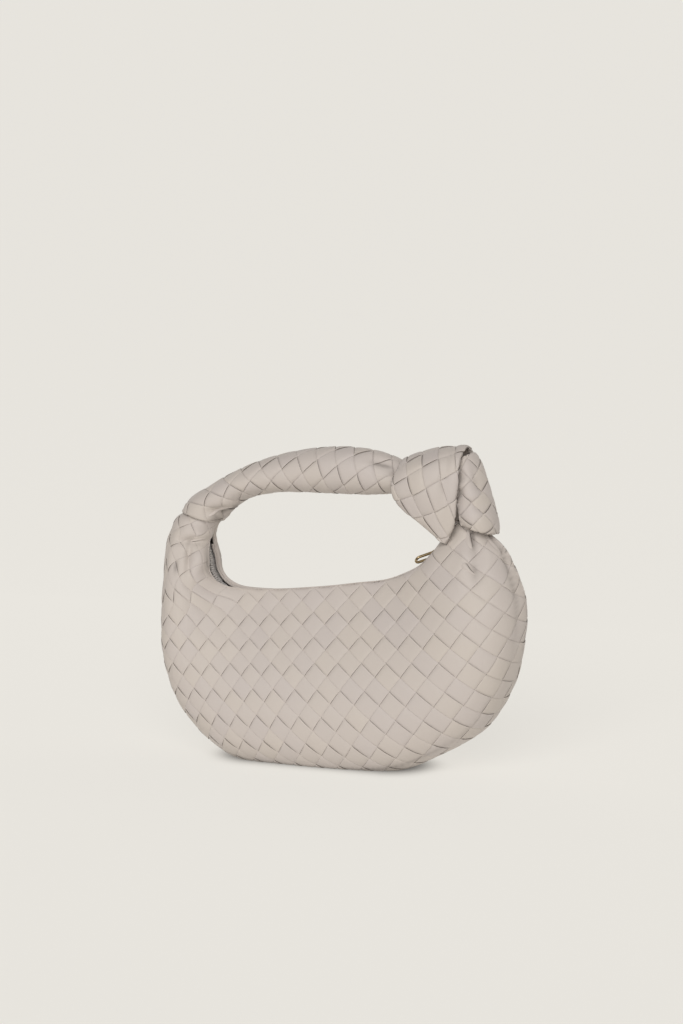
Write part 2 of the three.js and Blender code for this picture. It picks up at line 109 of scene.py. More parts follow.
leatherLook = {
    "base": (0.512, 0.457, 0.418, 1),
    "warm": (0.523, 0.466, 0.416, 1),
    "cool": (0.5, 0.447, 0.42, 1),
    # colour of the painted shade in the gaps, crevices, creases and backing between the strips
    "paintedShadeColour": (0.13, 0.11, 0.096, 1),
    "paintedShadeShare": 0.85,
    "cloudScale": 90,
    "cloudSpan": 0.9,
    "cloudStart": 0.2,
    "grainScale": 2100,
    "grainShare": 0.35,
    "creaseScale": 380,
    "creaseShare": 0.65,
    "roughness": 0.5,
    "creaseRough": 0.14,
    "paintedShadeRough": 0.1,
    "bump": 0.22,
    "bumpDepth": 0.0004,
}


def leatherFinish(name, look):
    finish, wire, feed = newFinish(name, {"Specular IOR Level": 0.35, "Sheen Weight": 0.08})
    place = wire.node("ShaderNodeUVMap", {"uv_map": "strip"})
    tone = wire.node("ShaderNodeAttribute", {"attribute_name": "tone"}, out=2)
    paintedShade = wire.node("ShaderNodeAttribute", {"attribute_name": "paintedShade"}, out=2)
    cloud = wire.noise(place, look["cloudScale"], 3)
    grain = wire.node("ShaderNodeTexVoronoi", sockets={"Vector": place, "Scale": look["grainScale"]})
    crease = wire.noise(place, look["creaseScale"], 5)
    shade = (tone * 0.5 + 0.5).blend(look["cool"], look["warm"])
    shade = (cloud * look["cloudSpan"] - look["cloudStart"]).blend(shade, look["base"])
    # painted shade: the colour is pulled towards the painted shade colour where the painted shade attribute is
    # high
    feed("Base Color", (paintedShade * look["paintedShadeShare"]).blend(shade, look["paintedShadeColour"]))
    feed("Roughness", look["roughness"] + crease * look["creaseRough"] + paintedShade * look["paintedShadeRough"])
    height = grain * look["grainShare"] + crease * look["creaseShare"]
    feed("Normal", wire.bump(height, look["bump"], look["bumpDepth"]))
    return finish


tapeLook = {
    "dark": (0.52, 0.49, 0.47, 1),
    "light": (0.66, 0.63, 0.605, 1),
    "ribs": 1500,
    "yarnShare": 0.7,
    "fuzzScale": 700,
    "fuzzShare": 0.3,
    "roughness": 0.8,
    "fuzzRough": 0.15,
    "bump": 0.5,
    "bumpDepth": 0.0003,
}


def tapeFinish(name, look):
    finish, wire, feed = newFinish(name, {"Specular IOR Level": 0.2, "Sheen Weight": 0.15})
    place = wire.node("ShaderNodeUVMap", {"uv_map": "strip"})
    waves = {"Vector": place, "Scale": look["ribs"]}
    ribs = wire.node("ShaderNodeTexWave", {"bands_direction": "X"}, waves, out=1)
    picks = wire.node("ShaderNodeTexWave", {"bands_direction": "Y"}, waves, out=1)
    yarn = ribs * picks
    fuzz = wire.noise(place, look["fuzzScale"], 4)
    lightness = yarn * look["yarnShare"] + fuzz * look["fuzzShare"]
    feed("Base Color", lightness.blend(look["dark"], look["light"]))
    feed("Roughness", look["roughness"] + fuzz * look["fuzzRough"])
    feed("Normal", wire.bump(yarn, look["bump"], look["bumpDepth"]))
    return finish


brassLook = {
    "bright": (0.55, 0.42, 0.24, 1),
    "aged": (0.30, 0.22, 0.13, 1),
    "tarnishScale": 420,
    "tarnishSpan": 1.5,
    "tarnishStart": 0.35,
    "scratchScale": 2600,
    "roughness": 0.2,
    "tarnishRough": 0.2,
    "bump": 0.1,
    "bumpDepth": 0.0001,
}


def brassFinish(name, look):
    finish, wire, feed = newFinish(name, {"Metallic": 1.0})
    place = wire.node("ShaderNodeTexCoord", out=3)
    tarnish = wire.noise(place, look["tarnishScale"], 4)
    scratch = wire.noise(place, look["scratchScale"], 2)
    age = tarnish * look["tarnishSpan"] - look["tarnishStart"]
    feed("Base Color", age.blend(look["bright"], look["aged"]))
    feed("Roughness", look["roughness"] + tarnish * look["tarnishRough"])
    feed("Normal", wire.bump(scratch, look["bump"], look["bumpDepth"]))
    return finish


stripLeather = leatherFinish("stripLeather", leatherLook)
rolledLeather = leatherFinish("rolledLeather", {**leatherLook, "creaseScale": 700})
greyTape = tapeFinish("greyTape", tapeLook)
agedBrass = brassFinish("agedBrass", brassLook)
print("finishes made")


# Smooth curve through the rows of a table, evenly shared out from 0 to 1
def through(rows, along):
    table = np.array(rows, float)
    table = np.vstack([2 * table[0] - table[1], table, 2 * table[-1] - table[-2]])
    spot = np.clip(np.asarray(along, float), 0, 1) * (len(rows) - 1)
    first = np.clip(spot.astype(int), 0, len(rows) - 2)
    t = (spot - first)[..., None]
    before, start, end, after = (table[first + k] for k in range(4))
    leave, arrive = (end - before) / 2, (after - start) / 2
    ease = 3 * t**2 - 2 * t**3
    return start + ease * (end - start) + (t**3 - 2 * t**2 + t) * leave + (t**3 - t**2) * arrive


def foldsAt(folds, along, across):
    total = np.zeros(np.shape(along))
    for foldAlong, foldAcross, reach, spread, height in folds:
        away = ((along - foldAlong) / reach) ** 2 + ((across - foldAcross) / spread) ** 2
        total = total + height * np.exp(-away)
    return total


tiny = 1e-9  # keeps a division away from nought


def unit(vectors):
    return vectors / np.maximum(np.linalg.norm(vectors, axis=-1, keepdims=True), tiny)


# How far to each side a surface's slope is read
slope = {"along": 0.002, "across": 0.003, "fromLip": 0.004}


def outward(surface, along, across):
    ahead = surface(along + slope["along"], across) - surface(along - slope["along"], across)
    aside = surface(along, across + slope["across"]) - surface(along, across - slope["across"])
    return unit(np.cross(ahead, aside))


def runLength(points):
    return np.concatenate([[0], np.linalg.norm(np.diff(points, axis=0), axis=1).cumsum()])


def steps(count, start=0.0, end=1.0):
    return np.linspace(start, end, count + 1)


# Each strip's visible stretch is one tile, with round sides and ends that go under the crossing strips
tile = {
    "along": (-0.09, -0.04, 0, 0.04, 0.1, 0.2, 0.35, 0.5, 0.65, 0.8, 0.9, 0.96, 1, 1.04, 1.09),
    "across": (-0.004, 0, 0.0015, 0.04, 0.13, 0.3, 0.5, 0.7, 0.87, 0.96, 0.9985, 1, 1.004),
    "width": 13.4,
    # distance in from the strip's side, drop of the face there, and darkness of the painted shade on its side
    # wall
    "side": ((-0.054, 1.2, 1), (0, 0.12, 0.95), (0.02, 0.07, 0), (0.536, 0.01, 0), (1.7, 0, 0)),
    # distance before the crossing strip's side, drop, and darkness of the painted shade where the strip goes
    # under it
    "end": (
        (-1.2, 1.15, 1),
        (-0.54, 0.82, 0.9),
        (0, 0.62, 0),
        (0.54, 0.42, 0),
        (1.34, 0.19, 0),
        (2.68, 0.03, 0),
        (3.6, 0, 0),
    ),
    # the same at the far end of a strip that is pressed flat
    "farEnd": ((-1.2, 0.75), (-0.54, 0.5), (0, 0.36), (0.54, 0.29), (1.34, 0.2), (2.68, 0.08), (4.6, 0)),
    "deepest": 1.5,
    "crown": 0.08,
    "uneven": 0.05,
    "lap": 0.16,  # the strips lie like scales, with one side raised
    "pressedRamp": 2.5,
    "strayed": 0.05,  # a point this far off the cloth is moved to its edge
}


def gridFaces(rows, columns):
    first = (np.arange(rows - 1)[:, None] * columns + np.arange(columns - 1)).ravel()
    return np.stack([first, first + columns, first + columns + 1, first + 1], 1)


def tileHeight(along, across, pressed):
    fromSide = np.minimum(across, 1 - across) * tile["width"]
    fromEnd = np.minimum(along, 1 - along) * tile["width"]
    sideAt, sideDrop, paintedSideShade = np.transpose(tile["side"])
    endAt, endDrop, paintedEndShade = np.transpose(tile["end"])
    pressed = pressed * np.clip((along - 0.5) * tile["pressedRamp"], 0, 1)
    endFall = np.interp(fromEnd, endAt, endDrop)
    endFall = endFall + pressed * (np.interp(fromEnd, *np.transpose(tile["farEnd"])) - endFall)
    drop = np.minimum(np.interp(fromSide, sideAt, sideDrop) + endFall, tile["deepest"])
    # painted shade on the strip's side walls and on its ends under the crossing strips
    dark = np.maximum(np.interp(fromSide, sideAt, paintedSideShade), np.interp(fromEnd, endAt, paintedEndShade))
    lap = tile["lap"] * (2 * across * (1 - pressed) - 2)
    return lap - drop - tile["crown"] * (2 * across - 1) ** 2, dark


# The nearest spots of the flat cloth, the corners of their triangles and each corner's share
def onCloth(flat, triangles, wanted):
    tree = BVHTree.FromPolygons([(x, z, 0) for x, z in flat], triangles.tolist(), all_triangles=True)
    hits = [tree.find_nearest((x, z, 0)) for x, z in wanted]
    spots = np.array([hit[0][:2] for hit in hits])
    owners = triangles[[hit[2] for hit in hits]]
    a, b, c = (flat[owners[:, k]] for k in range(3))
    area = np.cross(b - a, c - a)
    area = np.where(np.abs(area) < tiny, tiny, area)
    shareB = np.clip(np.cross(spots - a, c - a) / area, 0, 1)
    shareC = np.clip(np.cross(b - a, spots - a) / area, 0, 1 - shareB)
    return spots, owners, np.stack([1 - shareB - shareC, shareB, shareC], 1)


# A lattice of strips on a flat cloth, brought to its sheet, where u and v are the places of the cloth's points
def weave(sheet, uGrid, vGrid, cloth, lattice, keep=None, calm=None, paintedCreaseShade=(), seed=1):
    flat = cloth.reshape(-1, 2)
    quads = gridFaces(*uGrid.shape)
    triangles = np.concatenate([quads[:, [0, 1, 2]], quads[:, [0, 2, 3]]])
    corner = np.array(lattice["corner"], float)
    stepsIJ = np.array([lattice["stepDown"], lattice["stepUp"]], float)
    toCells = np.linalg.inv(stepsIJ)
    cells, counts = np.unique(np.floor((flat - corner) @ toCells).astype(int), axis=0, return_counts=True)
    cells = cells[counts >= lattice["leastShare"]]
    middles = (cells + 0.5) @ stepsIJ + corner
    if keep is not None:
        kept = keep(middles)
        cells, middles = cells[kept], middles[kept]
    along, across = np.meshgrid(tile["along"], tile["across"], indexing="ij")
    downStrip = ((cells.sum(1) + lattice.get("parity", 0)) % 2 == 0)[:, None, None]
    i = cells[:, 0, None, None] + np.where(downStrip, along, across)
    j = cells[:, 1, None, None] + np.where(downStrip, across, along)
    wanted = np.stack([i, j], -1) @ stepsIJ + corner
    spots, owners, shares = onCloth(flat, triangles, wanted.reshape(-1, 2))
    shape = i.shape
    u = (uGrid.ravel()[owners] * shares).sum(1).reshape(shape)
    v = (vGrid.ravel()[owners] * shares).sum(1).reshape(shape)
    reached = ((spots - corner) @ toCells).reshape(*shape, 2) - cells[:, None, None, :]
    moved = np.linalg.norm(spots.reshape(*shape, 2) - wanted, axis=-1) > tile["strayed"]
    along = np.where(moved, np.where(downStrip, reached[..., 0], reached[..., 1]), along)
    across = np.where(moved, np.where(downStrip, reached[..., 1], reached[..., 0]), across)
    pressed = np.interp(middles[:, 0], *lattice.get("pressed", ((0, 1), (0, 0))))
    height, paintedShade = tileHeight(along, across, pressed[:, None, None])
    height = height * lattice.get("relief", 1)
    if calm is not None:
        height, paintedShade = height * calm(u, v), paintedShade * (1 + calm(u, v)) / 2
    # painted shade along the creases is added to the strips' own painted shade
    paintedShade = np.clip(paintedShade + foldsAt(paintedCreaseShade, u, v), 0, 1)
    rng = np.random.default_rng(seed)
    tilt = rng.uniform(-1, 1, (len(cells), 2, 1, 1)) * tile["uneven"]
    lower = tilt[:, 0] * (along - 0.5) + tilt[:, 1] * (across - 0.5)
    height = height - np.abs(tilt).sum((1, 2, 3))[:, None, None] / 2 + lower
    points = sheet(u, v, height)
    out = points - sheet(u, v, height - 0.5)
    tone = rng.uniform(-1, 1, len(cells))
    shift = rng.uniform(0, 3, (len(cells), 1, 1, 2))
    strip = np.stack([along, across], -1) * tile["width"] * mm + shift
    rows, columns = shape[1:]
    count = rows * columns
    firsts = np.arange(len(cells)) * count
    faces = gridFaces(rows, columns)[None] + firsts[:, None, None]
    row, column = rows // 2, columns // 2
    ahead = points[:, row + 1, column] - points[:, row - 1, column]
    aside = points[:, row, column + 1] - points[:, row, column - 1]
    turned = (np.cross(ahead, aside) * out[:, row, column]).sum(-1) < 0
    faces = np.where(turned[:, None, None], faces[..., ::-1], faces)
    return {
        "points": points.reshape(-1, 3),
        "faces": faces.reshape(-1, 4),
        "paintedShade": paintedShade.ravel(),
        "tone": np.repeat(tone, count),
        "strip": strip.reshape(-1, 2),
    }


# Places of the grain on smooth leather, from rough lengths of a sheet in millimetres
grainLengths = (300, 100)


def grainPlaces(u, v):
    return np.stack([u, v], -1).reshape(-1, 2) * grainLengths * mm


# A smooth closed wall between two depths of a sheet; by default its faces are darkened with painted shade,
# which shows between the strips
def wall(sheet, us, vs, outer, inner, closed, dark=(0.9, 0.9)):
    uGrid, vGrid = np.meshgrid(us, vs, indexing="ij")
    faceOut, faceIn = (sheet(uGrid, vGrid, np.full(uGrid.shape, -float(depth))) for depth in (outer, inner))
    rows, columns = uGrid.shape
    ids = np.arange(rows * columns).reshape(rows, columns)
    if closed:
        ids = np.concatenate([ids, ids[:, :1]], 1)
    quad = np.stack([ids[:-1, :-1], ids[1:, :-1], ids[1:, 1:], ids[:-1, 1:]], -1).reshape(-1, 4)
    total = rows * columns
    rims = [(ids[0, 1:], ids[0, :-1]), (ids[-1, :-1], ids[-1, 1:])]
    if not closed:
        rims += [(ids[:-1, 0], ids[1:, 0]), (ids[1:, -1], ids[:-1, -1])]
    ring = [np.stack([end, start, start + total, end + total], 1) for start, end in rims]
    faces = np.concatenate([quad, quad[:, ::-1] + total, *ring])
    points = np.concatenate([faceOut.reshape(-1, 3), faceIn.reshape(-1, 3)])
    grain = grainPlaces(uGrid, vGrid)
    return {
        "points": points,
        "faces": faces,
        "paintedShade": np.concatenate([np.broadcast_to(shade, uGrid.shape).ravel() for shade in dark]),
        "tone": np.zeros(len(points)),
        "strip": np.concatenate([grain, grain]),
    }


# Points past a sheet's edge: a half turn of the leather's thickness, then straight back inside
def turnOver(edge, normal, into, past, lift, leather):
    radius = leather / 2
    angle = np.minimum(past / radius, np.pi)[:, None]
    arm = (radius + lift)[:, None]
    straight = np.maximum(past - np.pi * radius, 0)[:, None]
    return edge + normal * (arm * np.cos(angle) - radius) + into * (straight - arm * np.sin(angle))


# An open strip of leather that lies on a sheet
def flap(sheet, u, v, height, paintedShade, mirrored):
    faces = gridFaces(*u.shape)
    return {
        "points": sheet(u, v, height).reshape(-1, 3),
        "faces": faces[:, ::-1] if mirrored else faces,
        "paintedShade": paintedShade.ravel(),
        "tone": np.zeros(u.size),
        "strip": grainPlaces(u, v),
    }


def makePiece(name, parts, finish, node, body="bag"):
    start, faces = 0, []
    for part in parts:
        faces.append(part["faces"] + start)
        start += len(part["points"])
    points = np.concatenate([part["points"] for part in parts]) * mm
    faces = np.concatenate(faces)
    mesh = bpy.data.meshes.new(name)
    mesh.from_pydata(points.tolist(), [], faces.tolist())
    # the painted shade and the random tone are kept on the points for the finish
    for label in ("paintedShade", "tone"):
        values = np.concatenate([part[label] for part in parts])
        mesh.attributes.new(label, "FLOAT", "POINT").data.foreach_set("value", values.astype(np.float32))
    strip = np.concatenate([part["strip"] for part in parts])
    corners = np.empty(len(mesh.loops), np.int32)
    mesh.loops.foreach_get("vertex_index", corners)
    mesh.uv_layers.new(name="strip").data.foreach_set("uv", strip[corners].astype(np.float32).ravel())
    mesh.polygons.foreach_set("use_smooth", np.ones(len(mesh.polygons), bool))
    mesh.validate()
    mesh.materials.append(finish)
    piece = bpy.data.objects.new(name, mesh)
    bpy.context.scene.collection.objects.link(piece)
    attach(piece, body)
    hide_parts(node)
    print(name, "made with", len(mesh.polygons), "faces")


# Pouch: rows from the right neck, down round the base, to the left neck
pouch = {
    # lip x and z, outer x and z, depth, mouth, roundness at the lip and at the outer edge
    "rows": (
        (87, 180, 106, 180, 8.5, 0.6, 0.5, 0.5),
        (80.5, 171.5, 112, 170.5, 12.5, 0.8, 0.5, 0.5),
        (75, 164, 122, 161, 17.5, 3, 0.5, 0.5),
        (70.5, 157, 128.5, 148, 23, 7.5, 0.55, 0.48),
        (62, 148, 136, 125, 30, 8.5, 0.65, 0.45),
        (50, 141, 135.5, 97, 35.5, 8.5, 0.75, 0.43),
        (35, 134.5, 127.5, 62, 39, 8.5, 0.85, 0.42),
        (16, 130.5, 104.5, 25.5, 41, 8.5, 0.9, 0.42),
        (-4, 127, 63, -1, 42, 8.5, 0.9, 0.42),
        (-24, 124.5, 14, -7, 42, 8.5, 0.9, 0.42),
        (-44, 122.5, -36, -7, 42, 8.5, 0.9, 0.42),
        (-64, 122, -84, -3, 42, 8.8, 0.9, 0.42),
        (-81, 123, -117.5, 28, 40, 9.5, 0.85, 0.42),
        (-92, 127.5, -133.5, 65, 37, 10.5, 0.75, 0.43),
        (-98, 135, -137, 102, 32, 11, 0.65, 0.45),
        (-99.2, 143.5, -137.5, 131, 26, 10, 0.55, 0.48),
        (-100.5, 153.5, -136.5, 152, 21, 6.5, 0.5, 0.5),
        (-99.5, 161, -132.5, 165, 18, 2, 0.5, 0.5),
        (-97.5, 167, -128.3, 173.3, 17.2, 0.8, 0.5, 0.5),
        (-94, 172, -121.6, 179.1, 14.3, 0.6, 0.5, 0.5),
        (-91, 178.5, -111, 186, 10.5, 0.6, 0.5, 0.5),
    ),
    # place along, place round, reach, spread, height
    "folds": (
        (0.2, 0.5, 0.11, 0.022, 1.6),
        (0.68, 0.43, 0.09, 0.04, -1.8),
        (0.72, 0.5, 0.08, 0.03, 0.8),
        (0.12, 0.31, 0.05, 0.026, -2.4),
        (0.13, 0.45, 0.1, 0.02, -1.8),
        (0.14, 0.24, 0.06, 0.022, 1.1),
        (0.12, 0.7, 0.05, 0.026, -3),
        (0.13, 0.55, 0.1, 0.02, -1.8),
        (0.76, 0.095, 0.04, 0.05, 2.6),
        (0.785, 0.178, 0.05, 0.02, -2.8),
        (0.79, 0.3, 0.05, 0.035, 1.5),
        (0.79, 0.8, 0.05, 0.024, -2.4),
        (0.79, 0.7, 0.05, 0.035, 1.5),
        (0.825, 0.16, 0.012, 0.12, -2.6),
        (0.857, 0.17, 0.016, 0.13, 1.2),
        (0.845, 0.78, 0.014, 0.16, -1.8),
        (0.05, 0.3, 0.035, 0.016, -2.6),
        (0.158, 0.288, 0.02, 0.014, -1.5),
        (0.07, 0.675, 0.03, 0.011, -1.6),
        (0.955, 0.5, 0.02, 0.2, -1.9),
        (0.385, 0.5, 0.035, 0.13, -5),
        (0.555, 0.5, 0.035, 0.13, -3.8),
    ),
    # painted shade along folds and along the base's contact edge: place along, place round from the lip, reach,
    # spread, darkness
    "paintedCreaseShade": (
        (0.045, 0.305, 0.03, 0.013, 0.75),
        (0.078, 0.284, 0.02, 0.011, 0.8),
        (0.158, 0.288, 0.016, 0.01, 0.4),
        (0.13, 0.452, 0.1, 0.009, 0.5),
        (0.822, 0.19, 0.012, 0.025, 0.25),
        (0.757, 0.254, 0.012, 0.012, 0.6),
        (0.735, 0.032, 0.04, 0.011, 0.6),
        (0.47, 0.426, 0.11, 0.007, 0.6),
    ),
    "leather": 2.4,
    "backing": 1.6,
    "mouthReach": 6,
    # how far the front lip stands above the back one, where along, how far, and how fast it fades below
    "lipRise": 2.4,
    "riseAt": 0.45,
    "riseReach": 0.17,
    "riseFade": 12,
    "turnIn": 100,  # millimetres for each unit of place past the lip
    # painted shade on the backing wall under the strips: darker away from the lips, and on its inner face
    "paintedWallShade": ((0.02, 0.1), (0.25, 0.9)),  # places round and the wall's darkness there
    "paintedInnerShade": 0.25,
}
pouchWeave = {
    "corner": (-97.9, 75.15),
    "stepDown": (8.94, -10.22),
    "stepUp": (8.94, 10.22),
    "parity": 1,
    "leastShare": 1,
    "pressed": ((-20, 60), (1, 0)),  # x, and how far the strips' right ends are pressed flat there
    # how the strips lean, crowd and curl away from a straight lattice
    "lean": 0.252,
    "leanTwist": -0.031,
    "leanCurl": -0.026,
    "rise": -0.0256,
    "riseTwist": -0.0777,
    "riseCurl": 0.041,
    "crowd": 0.092,
    "crowdReach": 90,
    # where the pattern is turned: x and z, full within, none beyond, degrees
    "swirls": ((-112, 160, 22, 60, 32),),
}


def lipRise(along):
    return pouch["lipRise"] * np.exp(-(((along - pouch["riseAt"]) / pouch["riseReach"]) ** 4))


def pouchSmooth(along, around):
    lipX, lipZ, outX, outZ, depth, mouth, lipRound, outRound = np.moveaxis(through(pouch["rows"], along), -1, 0)
    way = (1 - np.cos(2 * np.pi * around)) / 2
    peak = lipRound / (lipRound + outRound)
    low, high = np.maximum(way, 0), np.maximum(1 - way, 0)
    hump = low**lipRound * high**outRound / (peak**lipRound * (1 - peak) ** outRound)
    reach = depth * hump + mouth * high ** pouch["mouthReach"]
    front = around < 0.5
    z = lipZ + (outZ - lipZ) * way + np.where(front, lipRise(along) * high ** pouch["riseFade"], 0)
    return np.stack([lipX + (outX - lipX) * way, np.where(front, -reach, reach), z], -1)


def pouchNormal(along, around):
    along = np.clip(along, slope["along"], 1 - slope["along"])
    return outward(pouchSmooth, along, np.clip(around, slope["fromLip"], 1 - slope["fromLip"]))


def pouchFace(along, around, lift):
    raised = foldsAt(pouch["folds"], along, around) + lift
    face = pouchSmooth(along, around) + pouchNormal(along, around) * raised[..., None]
    face[..., 2] = np.maximum(face[..., 2], -lift)
    return face


# One half of the pouch; a place below 0 goes over the lip and down inside
def pouchHalf(back):
    lipAt, nearLip = (1.0, 0.98) if back else (0.0, 0.02)

    def sheet(along, place, lift):
        around = np.clip(place, 0, 0.5)
        face = pouchFace(along, 1 - around if back else around, lift)
        inside = place < 0
        if inside.any():
            a, up = along[inside], lift[inside]
            turnedIn = -place[inside] * pouch["turnIn"]
            lip = pouchFace(a, np.full(a.shape, lipAt), np.zeros(a.shape))
            normal = pouchNormal(a, np.full(a.shape, lipAt))
            into = pouchFace(a, np.full(a.shape, nearLip), np.zeros(a.shape)) - lip
            into = unit(into - normal * (into * normal).sum(-1, keepdims=True))
            face[inside] = turnOver(lip, normal, into, turnedIn, up, pouch["leather"])
        return face

    return sheet


def pouchCloth(along, place):
    points = pouchHalf(False)(along, place, np.zeros(along.shape))
    lengths = np.linalg.norm(np.diff(points, axis=1), axis=2).cumsum(1)
    lengths = np.concatenate([np.zeros((len(along), 1)), lengths], 1)
    lengths = lengths - lengths[:, [int((place[0] < 0).sum())]] - lipRise(along)
    rows = through(pouch["rows"], along[:, :1])
    lip, outer = rows[..., 0:2], rows[..., 2:4]
    x, z = np.moveaxis(lip + unit(outer - lip) * lengths[..., None], -1, 0)
    for pivotX, pivotZ, full, none, degrees in pouchWeave["swirls"]:
        awayX, awayZ = x - pivotX, z - pivotZ
        share = np.clip((none - np.hypot(awayX, awayZ)) / (none - full), 0, 1)
        angle = math.radians(degrees) * share**2 * (3 - 2 * share)
        x = pivotX + np.cos(angle) * awayX - np.sin(angle) * awayZ
        z = pivotZ + np.sin(angle) * awayX + np.cos(angle) * awayZ
    near = np.minimum(np.abs(x), pouchWeave["crowdReach"])
    bow = (2 * near * np.abs(x) - near**2) / 100
    twist, curl = x * z / 100, z * z / 100
    across = x + pouchWeave["lean"] * z + pouchWeave["leanTwist"] * twist + pouchWeave["leanCurl"] * curl
    up = z + pouchWeave["rise"] * x + pouchWeave["riseTwist"] * twist + pouchWeave["riseCurl"] * curl
    return np.stack([across - pouchWeave["crowd"] * bow, up], -1)


# The strips are pressed flat where they go over the lip
def pressedLip(along, place):
    return np.interp(place, (0, 0.04, 0.09), (0.3, 0.5, 1))


# Pleats: each is a low flap of leather whose free edge is darkened with painted shade
pleats = {
    # place along and place round from the lip, at three points of the free edge; the way that it faces
    "pouch": (
        (((0.005, 0.285), (0.06, 0.287), (0.11, 0.28)), (0, 1)),
        (((0.1435, 0.248), (0.16, 0.272), (0.169, 0.304)), (0, 1)),
        (((0.01, 0.466), (0.0775, 0.442), (0.1335, 0.448)), (0, 1)),
        (((0.842, 0.045), (0.829, 0.13), (0.825, 0.22)), (-0.22, 0)),
    ),
    "handle": ((((0.2, 0.06), (0.102, 0.11), (0.025, 0.182)), (0, -1)),),
    # place across the flap, height, darkness of the painted shade
    "profile": (
        (-0.045, -1.6, 0),
        (-0.03, -0.3, 0),
        (-0.012, 0.5, 0),
        (-0.003, 0.7, 0),
        (0, 0.5, 0.3),
        (0.002, 0.1, 1),
        (0.008, -0.5, 0.9),
        (0.014, -1.6, 0.5),
    ),
    "rows": 30,
}


def pleat(sheet, line, facing, mirrored=False):
    t = steps(pleats["rows"])
    across, height, dark = np.transpose(pleats["profile"])
    u, v = np.moveaxis(through(line, t)[:, None] + across[:, None] * np.array(facing), -1, 0)
    full = np.sqrt(np.sin(np.pi * t))[:, None]
    # painted shade along the flap's free edge
    return flap(sheet, u, v, height[0] + (height - height[0]) * full, dark * full, mirrored)


# A smooth rim where the leather turns over each lip
rim = {
    "from": 0.12,
    "to": 0.84,
    "taper": 0.03,
    "rows": 300,
    "sunk": -1.2,
    "places": (-0.045, -0.041, -0.036, -0.031, -0.026, -0.021, -0.016, -0.012, -0.008, -0.004, 0, 0.003, 0.006),
    # places and the heights there
    "profile": ((-0.045, -0.041, 0, 0.003, 0.006), (-0.6, 0.12, 0.12, 0.05, -0.6)),
}


def lipRim(sheet, mirrored):
    u, v = np.meshgrid(steps(rim["rows"], rim["from"], rim["to"]), rim["places"], indexing="ij")
    full = np.clip(np.minimum(u - rim["from"], rim["to"] - u) / rim["taper"], 0, 1)
    height = rim["sunk"] + (np.interp(v, *rim["profile"]) - rim["sunk"]) * full
    return flap(sheet, u, v, height, np.zeros(u.shape), mirrored)


pouchStops = np.concatenate([steps(10, -0.05, -0.005), steps(60, 0, 0.5)])
pouchAlong, pouchPlace = np.meshgrid(steps(240), pouchStops, indexing="ij")
clothGrid = pouchCloth(pouchAlong, pouchPlace)
wallRound = steps(64)
# painted shade on the pouch's backing wall
paintedWallShade = np.interp(np.minimum(wallRound, 1 - wallRound), *pouch["paintedWallShade"])
pouchWall = wall(
    pouchFace, steps(120), wallRound, pouch["backing"], pouch["leather"], False, (paintedWallShade, pouch["paintedInnerShade"])
)
for back, name, inner in ((False, "wovenFront", [pouchWall]), (True, "wovenBack", [])):
    strips = weave(
        pouchHalf(back),
        pouchAlong,
        pouchPlace,
        clothGrid,
        pouchWeave,
        calm=pressedLip,
        paintedCreaseShade=pouch["paintedCreaseShade"],
        seed=4 + back,
    )
    flaps = [pleat(pouchHalf(back), line, facing, back) for line, facing in pleats["pouch"]]
    flaps.append(lipRim(pouchHalf(back), back))
    makePiece(name, [strips, *inner, *flaps], stripLeather, "pouch")


# Handle: rows from the fold at the left neck, over the top, to the knot
handle = {
    # inner x and z, outer x and z, depth, middle y
    "rows": (
        (-89.5, 169.8, -124.6, 180.2, 17, 0),
        (-85.5, 176.5, -115.6, 189.6, 17.5, 0),
        (-79.5, 183.5, -101.2, 198.2, 17, 0),
        (-68, 190, -84, 208, 17, 0),
        (-48, 194, -60, 218.5, 17, 0),
        (-25, 195, -32, 226, 17, 0),
        (0, 195, -2, 229.5, 17, 0),
        (21, 195, 21, 228.5, 16.5, 0),
        (37, 196, 38, 224.5, 14.5, 1),
        (51, 197, 53, 217.5, 12.5, 1),
        (63, 194, 71, 214, 12, 1),
        (71, 188, 85, 202, 11, 1),
    ),
    "folds": (
        (0, 0, 0.05, 0.13, -3.5),
        (0, 1, 0.05, 0.13, -3.5),
        (0, 0.5, 0.03, 0.16, -1.6),
        (0.09, 0.08, 0.035, 0.14, -3.6),
        (0.06, 0.2, 0.025, 0.04, -1.2),
        (0.1, 0.15, 0.03, 0.04, -1.4),
        (0.14, 0.1, 0.03, 0.05, -1.2),
        (0.17, 0.1, 0.03, 0.1, 1.2),
        (0.1, 0.88, 0.035, 0.12, -2.4),
        (0.71, 0.36, 0.05, 0.035, -2.8),
        (0.78, 0.3, 0.05, 0.035, -2.8),
        (0.74, 0.2, 0.06, 0.05, 1.2),
        (0.74, 0.78, 0.09, 0.05, -2.6),
    ),
    # painted shade along folds: place along, place round, reach, spread, darkness
    "paintedCreaseShade": (
        (0.025, 0.08, 0.04, 0.07, 0.6),
        (0.05, 0.13, 0.02, 0.03, 0.5),
        (0.1, 0.075, 0.03, 0.03, 0.7),
        (0.15, 0.05, 0.03, 0.03, 0.7),
        (0.18, 0.03, 0.03, 0.05, 0.6),
        (0.72, 0.345, 0.04, 0.02, 0.6),
        (0.78, 0.3, 0.03, 0.02, 0.5),
    ),
    "leather": 1.8,
    "backing": 1.4,
    "round": 100.0,  # mean length round the tube
    "turnIn": 100,
}
handleTurns = {"down": 6, "up": 2}  # strips crossed on one way round
handleWeave = {"corner": (4.0, 3.0), "stepUp": (11.2, 9.0), "leastShare": 4, "relief": 1.25}
handleWeave["stepDown"] = (
    handleTurns["up"] * handleWeave["stepUp"][0] / handleTurns["down"],
    (handleTurns["up"] * handleWeave["stepUp"][1] - handle["round"]) / handleTurns["down"],
)


